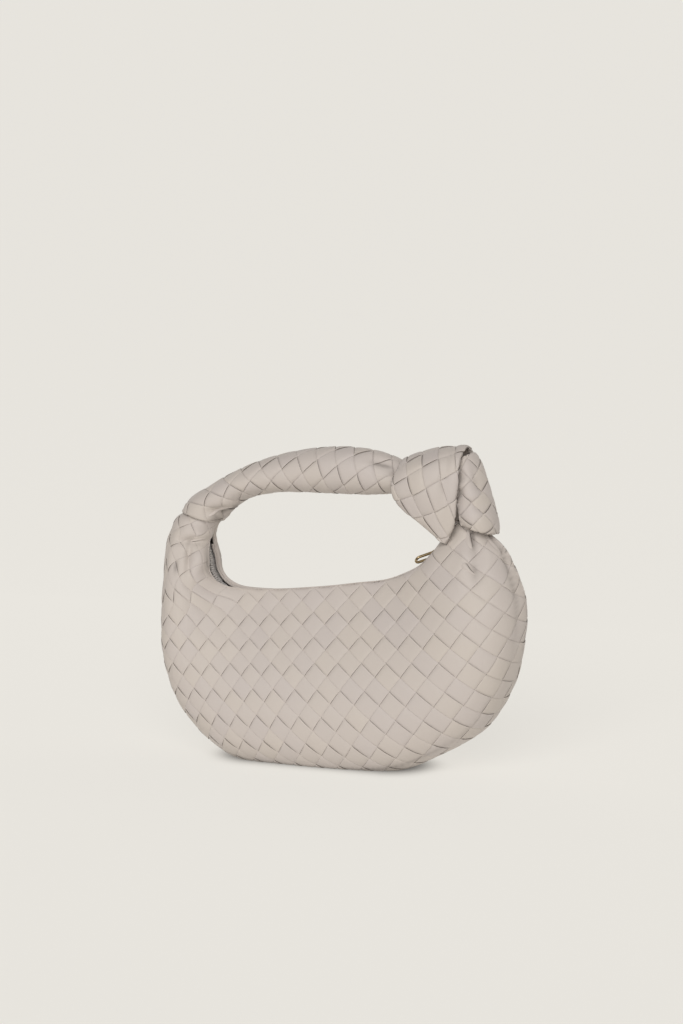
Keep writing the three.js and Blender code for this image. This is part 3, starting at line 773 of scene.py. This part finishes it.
def handleSmooth(along, around):
    innerX, innerZ, outerX, outerZ, depth, middleY = np.moveaxis(through(handle["rows"], along), -1, 0)
    way = (1 - np.cos(2 * np.pi * around)) / 2
    y = middleY - depth * np.sin(2 * np.pi * around)
    return np.stack([innerX + (outerX - innerX) * way, y, innerZ + (outerZ - innerZ) * way], -1)


# A place along below 0 goes over the cuff's edge and back inside
def handleSheet(along, around, lift):
    held = np.clip(along, 0, 1)
    normal = outward(handleSmooth, np.clip(along, slope["along"], 1 - slope["along"]), around)
    raised = foldsAt(handle["folds"], held, np.mod(around, 1)) + lift
    face = handleSmooth(held, around) + normal * raised[..., None]
    inside = along < 0
    if inside.any():
        turnedIn = -along[inside] * handle["turnIn"]
        a, r, up, n = np.zeros(turnedIn.shape), around[inside], lift[inside], normal[inside]
        into = unit(handleSmooth(a + 0.01, r) - handleSmooth(a, r))
        edge = handleSmooth(a, r) + n * foldsAt(handle["folds"], a, np.mod(r, 1))[:, None]
        face[inside] = turnOver(edge, n, into, turnedIn, up, handle["leather"])
    return face


handleStops = np.concatenate([steps(6, -0.05, -0.007), steps(150)])
handleAlong, handleRound = np.meshgrid(handleStops, steps(72, -0.25, 1.25), indexing="ij")
handleEdges = through(handle["rows"], handleStops)
spine = (handleEdges[:, 0:2] + handleEdges[:, 2:4]) / 2
gone = runLength(spine) + np.minimum(handleStops, 0) * handle["turnIn"]
handleCloth = np.stack([np.broadcast_to(gone[:, None], handleRound.shape), handleRound * handle["round"]], -1)


# The strips are pressed flat where they go over the cuff's edge
def pressedCuff(along, around):
    return np.interp(along, (0, 0.02, 0.05), (0.4, 0.6, 1))


def onceRound(middles):
    return (middles[:, 1] >= 0) & (middles[:, 1] < handle["round"])


handleParts = [
    weave(
        handleSheet,
        handleAlong,
        handleRound,
        handleCloth,
        handleWeave,
        keep=onceRound,
        calm=pressedCuff,
        paintedCreaseShade=handle["paintedCreaseShade"],
        seed=11,
    )
]
# the handle's backing wall takes the default painted shade
handleWall = wall(handleSheet, steps(90), steps(40)[:-1], handle["backing"], handle["leather"], True)
handleParts.append(handleWall)
handleParts += [pleat(handleSheet, line, facing) for line, facing in pleats["handle"]]
makePiece("wovenHandle", handleParts, stripLeather, "handle")


# A ribbon's section: a lens with round edges, as shares of its half width and half thickness
def lens(turn):
    swing = np.sin(turn)
    return np.cos(turn), np.sign(swing) * np.abs(swing) ** 0.6


def ribbonSheet(skin, halfThickness):
    def sheet(along, turn, lift):
        face = skin(along, turn, halfThickness)
        return face + unit(face - skin(along, turn, halfThickness - 1)) * lift[..., None]

    return sheet


def ribbonCloth(skin, halfThickness, along, turn):
    points = skin(along, turn, halfThickness)
    middle = points[:, points.shape[1] // 2]
    up = runLength(middle)
    gaps = np.linalg.norm(np.diff(points, axis=1), axis=2)
    across = np.concatenate([np.zeros((len(points), 1)), gaps.cumsum(1)], 1)
    across = across[:, [points.shape[1] // 2]] - across
    return np.stack([across, np.broadcast_to(up[:, None], across.shape)], -1)


# Band of the knot: from the front, over the top, to the back
band = {
    # middle x, y and z, half width, tilt, facing, cup
    "rows": (
        (79.5, -15, 167, 5, -30, -24, 0.5),
        (71, -19.8, 182.5, 20, -14, -20, 2),
        (68.5, -24.5, 203, 25, 3, 2, 4.5),
        (69.5, -19, 220.5, 25, 12, 44, 3),
        (70.5, 0, 228.5, 24.5, 13, 90, 1.5),
        (70.5, 19, 220, 24.5, 11, 136, 3),
        (70.5, 24.5, 203, 24.5, 2, 178, 4.5),
        (76, 19.8, 184, 17.5, -12, 200, 2),
        (82, 15.6, 168.5, 5, -26, 204, 0.5),
    ),
    "folds": ((0.3, 0.62, 0.2, 0.13, -1.5), (0.2, -0.35, 0.1, 0.2, -1), (0.7, 0.5, 0.18, 0.16, -1.5)),
    "halfThickness": 2.4,
    "backing": 1.2,
}
bandWeave = {"corner": (2, 4), "stepDown": (4.8, -16), "stepUp": (10.9, 5.5), "leastShare": 3, "relief": 1.4}


def bandSkin(along, turn, halfThickness):
    across, thick = lens(turn)
    rows = through(band["rows"], along)
    halfWidth, tilt, facing, cup = np.moveaxis(rows[..., 3:], -1, 0)
    tilt, facing = np.radians(tilt), np.radians(facing)
    nought = np.zeros(np.shape(tilt))
    wide = np.stack([np.cos(tilt), nought, np.sin(tilt)], -1)
    out = np.stack([nought, -np.cos(facing), np.sin(facing)], -1)
    out = unit(out - wide * (out * wide).sum(-1, keepdims=True))
    raised = halfThickness * thick - cup * across**2 + foldsAt(band["folds"], along, across)
    halfWidth = halfWidth - band["halfThickness"] + halfThickness
    return rows[..., :3] + wide * (halfWidth * across)[..., None] + out * raised[..., None]


# Collar of the knot: the fold that wraps the right neck
collar = {
    # low edge x, y and z, high edge x, y and z, bulge
    "rows": (
        (94, -13, 177, 88, -9, 218, 2),
        (106, -15.5, 173.5, 92, -10, 225, 3),
        (114, -9.5, 171.5, 96, -6.5, 228, 2.6),
        (116, 2, 170.5, 98.5, 1, 228.5, 2),
        (113, 12.5, 171, 96.5, 8, 226.5, 2.2),
        (106, 16, 173, 93, 11, 221, 3),
        (94, 13.5, 177, 88, 10, 216, 2),
    ),
    "folds": (
        (0.1, 0.55, 0.07, 0.16, -2),
        (0.17, 0.3, 0.1, 0.12, 1.6),
        (0.05, 0.1, 0.07, 0.13, -2.2),
        (0.2, -0.02, 0.12, 0.11, 1.4),
        (0.24, -0.3, 0.12, 0.13, -1.5),
        (0.12, -0.62, 0.1, 0.2, 1),
        (0.3, 0.3, 0.05, 0.3, -1.5),
        (0.47, 0.1, 0.05, 0.6, 0.8),
        (0.64, -0.2, 0.05, 0.7, -1.6),
    ),
    "halfThickness": 2.0,
    "backing": 1.3,
    "slopeStep": 0.01,
}
collarWeave = {"corner": (3, 5), "stepDown": (9.2, -7.7), "stepUp": (7.6, 11.7), "leastShare": 3, "relief": 1.4}


def collarSkin(along, turn, halfThickness):
    across, thick = lens(turn)
    rows = through(collar["rows"], along)
    low, high, bulge = rows[..., 0:3], rows[..., 3:6], rows[..., 6]
    step = collar["slopeStep"]
    onward, before = np.minimum(along + step, 1), np.maximum(along - step, 0)
    ahead = through(collar["rows"], onward) - through(collar["rows"], before)
    out = unit(np.cross(ahead[..., 0:3], high - low))
    raised = bulge * (1 - across**4) + foldsAt(collar["folds"], along, across) + halfThickness * thick
    trim = (collar["halfThickness"] - halfThickness) / np.linalg.norm(high - low, axis=-1)
    share = (1 + across * (1 - 2 * trim)) / 2
    return low + (high - low) * share[..., None] + out * raised[..., None]


# the smooth wall under the knot's strips is darkened with painted shade
coreWall, paintedCoreShade = 0.4, 0.2  # thickness and darkness of the smooth wall under the knot's strips


def knotPiece(name, skin, form, pattern, node, seed):
    half = form["halfThickness"]
    along, turn = np.meshgrid(steps(90), steps(60, -0.5, np.pi + 0.5), indexing="ij")
    cloth = ribbonCloth(skin, half, along, turn)
    strips = weave(ribbonSheet(skin, half), along, turn, cloth, pattern, seed=seed)
    under = half - form["backing"]

    def lining(placeAlong, loop, lift):
        return skin(placeAlong, 2 * np.pi * loop, under + lift)

    core = wall(lining, steps(60), steps(28)[:-1], 0, coreWall, True, (paintedCoreShade, paintedCoreShade))
    makePiece(name, [strips, core], stripLeather, node)


knotPiece("knotBand", bandSkin, band, bandWeave, "knot_band", 21)
knotPiece("knotCollar", collarSkin, collar, collarWeave, "knot_collar", 31)


# Zip: tape under the lips, teeth along its middle
zipper = {
    "tapeDepth": 5.2,
    "tapeThickness": 0.9,
    "tapeFrom": 0.13,
    "tapeTo": 0.82,
    "teethFrom": 0.165,
    "teethTo": 0.785,
    "teethDepth": 4.25,
    "toothPitch": 1.7,
    "tooth": (0.62, 1.75, 0.95),  # half sizes along, across and up
    "toothCut": (0.7, 0.8),  # where its corners are cut off
    "toothTop": 0.72,
    "toothRise": 1,
    "toothSwap": 0.55,  # the teeth lie to the left and the right in turn
    "tapeOver": 1.2,  # how far the tape goes under the lips
    "tapeSag": 0.25,
    "sagRate": 260,
    # how much farther the tape goes under the lips where the mouth is open
    "tuck": 7,
    "tuckAt": 0.74,
    "tuckReach": 0.06,
    "sink": 5,
    "sinkAt": 0.16,
    "sinkReach": 0.05,
    "cordRadius": 1.0,
    "cordGap": 0.4,
    "cordWall": 0.6,
    "cordShade": 0.1,
    "cordRipple": 0.05,
    "rippleRate": 900,
    "bindFrom": 0.2,
    "bindTo": 0.8,
}


def mouthOut(along):
    rows = through(pouch["rows"], along)
    x, z = np.moveaxis(unit(rows[..., 0:2] - rows[..., 2:4]), -1, 0)
    return np.stack([x, np.zeros(x.shape), z], -1)


def zipLine(along, depth):
    rows = through(pouch["rows"], along)
    lip = np.stack([rows[..., 0], np.zeros(rows.shape[:-1]), rows[..., 1]], -1)
    sunk = zipper["sink"] * np.exp(-(((along - zipper["sinkAt"]) / zipper["sinkReach"]) ** 2))
    return lip - mouthOut(along) * (depth + sunk)[..., None]


def tapeSheet(along, side, lift):
    tucked = zipper["tuck"] * np.exp(-(((along - zipper["tuckAt"]) / zipper["tuckReach"]) ** 2))
    half = through(pouch["rows"], along)[..., 5] - pouch["leather"] + zipper["tapeOver"] + tucked
    sag = zipper["tapeSag"] * np.sin(along * zipper["sagRate"]) * np.abs(side) ** 3
    point = zipLine(along, zipper["tapeDepth"] - lift + sag)
    point[..., 1] = -half * side
    return point


tapeStops = steps(160, zipper["tapeFrom"], zipper["tapeTo"])
halfTape = zipper["tapeThickness"] / 2
tape = wall(tapeSheet, tapeStops, steps(12, -1, 1), -halfTape, halfTape, False)
tape["strip"] = tape["points"][:, :2] * mm
makePiece("zipTape", [tape], greyTape, "zip_tape")


def toothForm():
    x, y, z = zipper["tooth"]
    cutX, cutY = x * zipper["toothCut"][0], y * zipper["toothCut"][1]
    half = [(-x, -cutY), (-cutX, -y), (cutX, -y), (x, -cutY)]
    ring = np.array(half + [(-a, -b) for a, b in half])
    levels = ((zipper["toothTop"], -z), (1, -z / 2), (1, z / 2), (zipper["toothTop"], z))
    points = np.concatenate([np.column_stack([ring * scale, np.full(8, height)]) for scale, height in levels])
    turn = np.arange(8)
    ahead = (turn + 1) % 8
    side = np.stack([turn, ahead, ahead + 8, turn + 8], 1)
    cap = np.array([(2, 1, 0, 7), (7, 6, 3, 2), (6, 5, 4, 3)])
    return points, np.concatenate([side, side + 8, side + 16, cap[:, ::-1] + 24, cap])


def teethLine(along):
    return zipLine(along, np.full(along.shape, zipper["teethDepth"] - zipper["toothRise"]))


toothPoints, toothFaces = toothForm()
fine = steps(2000, zipper["teethFrom"], zipper["teethTo"])
run = runLength(teethLine(fine))
toothPlaces = np.arange(0.5, run[-1] / zipper["toothPitch"] - 0.5) * zipper["toothPitch"]
toothAlong = np.interp(toothPlaces, run, fine)
toothMiddle = teethLine(toothAlong)
toothAhead = unit(teethLine(toothAlong + 0.004) - teethLine(toothAlong - 0.004))
toothSide = np.broadcast_to(np.array([0.0, 1.0, 0.0]), toothAhead.shape)
toothUp = unit(np.cross(toothAhead, toothSide))
toothSwap = np.where(np.arange(len(toothAlong)) % 2 == 0, zipper["toothSwap"], -zipper["toothSwap"])
teethPoints = (
    toothMiddle[:, None]
    + toothAhead[:, None] * toothPoints[None, :, 0:1]
    + toothSide[:, None] * (toothPoints[None, :, 1:2] + toothSwap[:, None, None])
    + toothUp[:, None] * toothPoints[None, :, 2:3]
)
teethFaces = toothFaces[None] + (np.arange(len(toothAlong)) * len(toothPoints))[:, None, None]
teeth = {
    "points": teethPoints.reshape(-1, 3),
    "faces": teethFaces.reshape(-1, 4),
    "paintedShade": np.zeros(teethPoints.size // 3),
    "tone": np.zeros(teethPoints.size // 3),
    "strip": teethPoints.reshape(-1, 3)[:, :2] * mm,
}
makePiece("zipTeeth", [teeth], greyTape, "zip_coil")


# Rolled edges inside the lips
def bindingSheet(side):
    def sheet(along, loop, lift):
        angle = 2 * np.pi * loop
        lipAt = np.full(along.shape, 0.0 if side < 0 else 1.0)
        point = pouchFace(along, lipAt, np.full(along.shape, -pouch["leather"]))
        ripple = zipper["cordRipple"] * np.sin(along * zipper["rippleRate"])
        radius = zipper["cordRadius"] * (1 + ripple) + lift
        point[..., 1] += radius * np.cos(angle) - side * (zipper["cordRadius"] + zipper["cordGap"])
        return point + mouthOut(along) * (radius * np.sin(angle))[..., None]

    return sheet


for side, name, node in ((-1, "lipCordFront", "binding_front"), (1, "lipCordBack", "binding_back")):
    cordStops = steps(180, zipper["bindFrom"], zipper["bindTo"])
    shades = (zipper["cordShade"], zipper["cordShade"])
    cord = wall(bindingSheet(side), cordStops, steps(14)[:-1], 0, zipper["cordWall"], True, shades)
    makePiece(name, [cord], rolledLeather, node)


# Slider and pull, modelled flat at the origin and then set on the zip
def bareHands():
    if bpy.context.object and bpy.context.object.mode != "OBJECT":
        bpy.ops.object.mode_set(mode="OBJECT")
    bpy.ops.object.select_all(action="DESELECT")


def pickVertices(piece, test):
    bpy.ops.mesh.select_all(action="DESELECT")
    bpy.ops.object.mode_set(mode="OBJECT")
    for vertex in piece.data.vertices:
        vertex.select = test(vertex.co)
    bpy.ops.object.mode_set(mode="EDIT")


slider = {
    "at": 0.172,
    "length": 8.4,
    "width": 5.4,
    "thickness": 1.5,
    "clearance": 0.8,
    "bailSpan": 6.2,
    "bailRise": 5.6,
    "bailWire": 0.75,
    "hingeRise": 2.5,
    "crest": 2.0,  # height of the teeth's top
    "waist": 0.78,
    "ends": (0.72, 0.8),  # width and height of both ends
    "bailFoot": 0.7,
}
pullRing = {"length": 17, "width": 7.6, "wire": 1.6, "thick": 2, "droop": 21, "roll": 33}

sliderSpots = slider["at"] + np.array([-0.01, 0, 0.01])
behind, beneath, before = zipLine(sliderSpots, np.full(3, zipper["teethDepth"] - slider["crest"]))
sliderAhead = unit(behind - before)
sliderUp = np.cross(sliderAhead, (0, 1, 0))
sliderBase = beneath + sliderUp * slider["clearance"]
sliderPlace = Matrix.Translation(Vector(sliderBase * mm)) @ Matrix(
    [[*row, 0] for row in np.column_stack([sliderAhead, (0, 1, 0), sliderUp])] + [[0, 0, 0, 1]]
)

bareHands()
bpy.ops.mesh.primitive_cube_add(size=1, location=(0, 0, slider["thickness"] / 2 * mm))
sliderPlate = bpy.context.object
bpy.ops.object.mode_set(mode="EDIT")
bpy.ops.transform.resize(value=(slider["length"] * mm, slider["width"] * mm, slider["thickness"] * mm))
bpy.ops.mesh.subdivide(number_cuts=3)
pickVertices(sliderPlate, lambda co: abs(co.x) < 0.1 * mm)
bpy.ops.transform.resize(value=(1, slider["waist"], 1))
pickVertices(sliderPlate, lambda co: abs(co.x) > 0.45 * slider["length"] * mm)
bpy.ops.transform.resize(value=(1, *slider["ends"]))
bpy.ops.object.mode_set(mode="OBJECT")
rounding = sliderPlate.modifiers.new("rounding", "SUBSURF")
rounding.levels = rounding.render_levels = 2
bpy.ops.object.modifier_apply(modifier="rounding")

bareHands()
bpy.ops.mesh.primitive_torus_add(
    major_segments=28,
    minor_segments=10,
    major_radius=(slider["bailSpan"] / 2) * mm,
    minor_radius=slider["bailWire"] * mm,
    location=(0, 0, slider["thickness"] * mm),
    rotation=(math.pi / 2, 0, 0),
)
bail = bpy.context.object
bpy.ops.object.transform_apply(location=True, rotation=True, scale=True)
bpy.ops.object.mode_set(mode="EDIT")
bpy.ops.mesh.select_all(action="SELECT")
bailFoot = (0, 0, slider["bailFoot"] * slider["thickness"] * mm)
bpy.ops.mesh.bisect(plane_co=bailFoot, plane_no=(0, 0, 1), clear_inner=True, use_fill=True)
pickVertices(bail, lambda co: co.z > (slider["thickness"] + 0.5) * mm)
bpy.ops.transform.translate(value=(0, 0, (slider["bailRise"] - slider["bailSpan"] / 2) * mm))
bareHands()
bail.select_set(True)
sliderPlate.select_set(True)
bpy.context.view_layer.objects.active = sliderPlate
bpy.ops.object.join()
sliderPlate.matrix_world = sliderPlace
bpy.ops.object.transform_apply(location=True, rotation=True, scale=True)
bpy.ops.object.shade_smooth_by_angle(angle=math.radians(50))
sliderPlate.name = "zipSlider"
sliderPlate.data.materials.append(agedBrass)
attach(sliderPlate, "bag")
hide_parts("zip_slider")

bareHands()
loopRadius = (pullRing["width"] - pullRing["wire"]) / 2
bpy.ops.mesh.primitive_torus_add(
    major_segments=40,
    minor_segments=12,
    major_radius=loopRadius * mm,
    minor_radius=pullRing["thick"] / 2 * mm,
    location=(-loopRadius * mm, 0, 0),
)
ring = bpy.context.object
bpy.ops.object.transform_apply(location=True, rotation=True, scale=True)
bpy.ops.object.mode_set(mode="EDIT")
pickVertices(ring, lambda co: co.x < -loopRadius * mm - 0.01 * mm)
bpy.ops.transform.translate(value=(-(pullRing["length"] - pullRing["width"]) * mm, 0, 0))
bareHands()
ring.select_set(True)
bpy.context.view_layer.objects.active = ring
hinge = sliderPlace @ Vector((0, 0, (slider["thickness"] + slider["hingeRise"]) * mm))
droop = Matrix.Rotation(-math.radians(pullRing["droop"]), 4, "Y")
roll = Matrix.Rotation(math.radians(pullRing["roll"]), 4, "X")
ring.matrix_world = Matrix.Translation(hinge) @ droop @ roll
bpy.ops.object.transform_apply(location=True, rotation=True, scale=True)
bpy.ops.object.shade_smooth()
ring.name = "zipPull"
ring.data.materials.append(agedBrass)
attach(ring, "pull")
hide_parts("zip_pull")
print("zip made")


# Studio: a pale sweep, soft light and the camera
studio = {
    "paper": (0.25, 0.244, 0.23, 1),
    # the paper's own glow evens out the floor, the curve behind it and the bag's cast shadow; under the bag the
    # glow is dimmed to a painted shadow
    "glowFloor": (0.628, 0.61, 0.573, 1),
    "glowCurve": (0.531, 0.516, 0.487, 1),
    # painted shadow under the bag: its glow colour, middle, half length and width
    "paintedShadowGlow": (0.08, 0.075, 0.07, 1),
    "paintedShadowMiddle": -0.012,
    "paintedShadowLong": 0.05,
    "paintedShadowWide": 0.03,
    "toLight": (0.16, -0.87, 0.47),
    "lightWide": 50,
    "lightStrength": 2.3,
    "lightColour": (1, 0.995, 0.985),
    "airColour": (1.0, 0.99, 0.97, 1),
    "airStrength": 0.2,
    "halfWidth": 6.0,
    "front": -4.0,
    "back": 2.2,
    "cove": 1.6,
    "coveSteps": 24,
    "height": 5.0,
}


def sweepProfile():
    back, cove = studio["back"], studio["cove"]
    yield studio["front"], 0.0
    yield back - cove, 0.0
    for k in range(1, studio["coveSteps"] + 1):
        angle = math.pi / 2 * k / studio["coveSteps"]
        yield back - cove + cove * math.sin(angle), cove * (1 - math.cos(angle))
    yield back, studio["height"]


profile = list(sweepProfile())
paperMesh = bpy.data.meshes.new("paper")
paperMesh.from_pydata(
    [(side * studio["halfWidth"], y, z) for y, z in profile for side in (-1, 1)],
    [],
    [(2 * k, 2 * k + 1, 2 * k + 3, 2 * k + 2) for k in range(len(profile) - 1)],
)
paperMesh.polygons.foreach_set("use_smooth", np.ones(len(paperMesh.polygons), bool))
paperFinish, paperWire, feedPaper = newFinish(
    "paper", {"Base Color": studio["paper"], "Emission Strength": 1, "Specular IOR Level": 0}
)
spot = paperWire.node("ShaderNodeTexCoord", out=3)
split = [paperWire.node("ShaderNodeSeparateXYZ", sockets={"Vector": spot}, out=k) for k in range(3)]
spotX, spotY, spotZ = split
level = paperWire.maths("MAXIMUM", 1 - spotZ * (1 / studio["cove"]), 0)
steep = paperWire.maths("POWER", 1 - level * level, 0.5)
floorLit = studio["toLight"][2]
lit = (level * floorLit + steep * -studio["toLight"][1] - floorLit) * (1 / (1 - floorLit))
# painted shadow: the glow is dimmed inside an oval round the bag's footprint
beyond = paperWire.maths("ABSOLUTE", spotX - studio["paintedShadowMiddle"], 0) - studio["paintedShadowLong"]
beyond = paperWire.maths("MAXIMUM", beyond, 0)
apart = (beyond * beyond + spotY * spotY) * (1 / studio["paintedShadowWide"] ** 2)
under = paperWire.maths("POWER", math.exp(-1), apart * apart)
glow = lit.blend(studio["glowFloor"], studio["glowCurve"])
feedPaper("Emission Color", under.blend(glow, studio["paintedShadowGlow"]))
fleck = paperWire.node("ShaderNodeTexNoise", sockets={"Scale": 3, "Detail": 2})
feedPaper("Roughness", 0.85 + fleck * 0.1)
paperMesh.materials.append(paperFinish)
paper = bpy.data.objects.new("paper", paperMesh)
bpy.context.scene.collection.objects.link(paper)

lamp = bpy.data.lights.new("softBox", "SUN")
lamp.angle = math.radians(studio["lightWide"])
lamp.energy = studio["lightStrength"]
lamp.color = studio["lightColour"]
softBox = bpy.data.objects.new("softBox", lamp)
bpy.context.scene.collection.objects.link(softBox)
softBox.rotation_euler = Vector(studio["toLight"]).to_track_quat("Z", "Y").to_euler()
world = bpy.data.worlds.new("studioAir")
bpy.context.scene.world = world
world.use_nodes = True
air = world.node_tree.nodes["Background"].inputs
air["Color"].default_value = studio["airColour"]
air["Strength"].default_value = studio["airStrength"]

camera = {"azimuth": 20, "elevation": 7, "target": (0, 0, 0.182), "distance": 1.6, "viewHigh": 25.85}
photoLens = bpy.data.cameras.new("photoView")
photoLens.sensor_fit = "VERTICAL"
photoLens.angle = math.radians(camera["viewHigh"])
eye = bpy.data.objects.new("photoView", photoLens)
bpy.context.scene.collection.objects.link(eye)
azimuth, elevation = math.radians(camera["azimuth"]), math.radians(camera["elevation"])
outFlat = math.cos(elevation)
away = Vector((math.sin(azimuth) * outFlat, -math.cos(azimuth) * outFlat, math.sin(elevation)))
eye.location = Vector(camera["target"]) + away * camera["distance"]
eye.rotation_euler = (-away).to_track_quat("-Z", "Y").to_euler()
bpy.context.scene.camera = eye
bpy.context.scene.view_settings.view_transform = "Standard"
print("studio made")
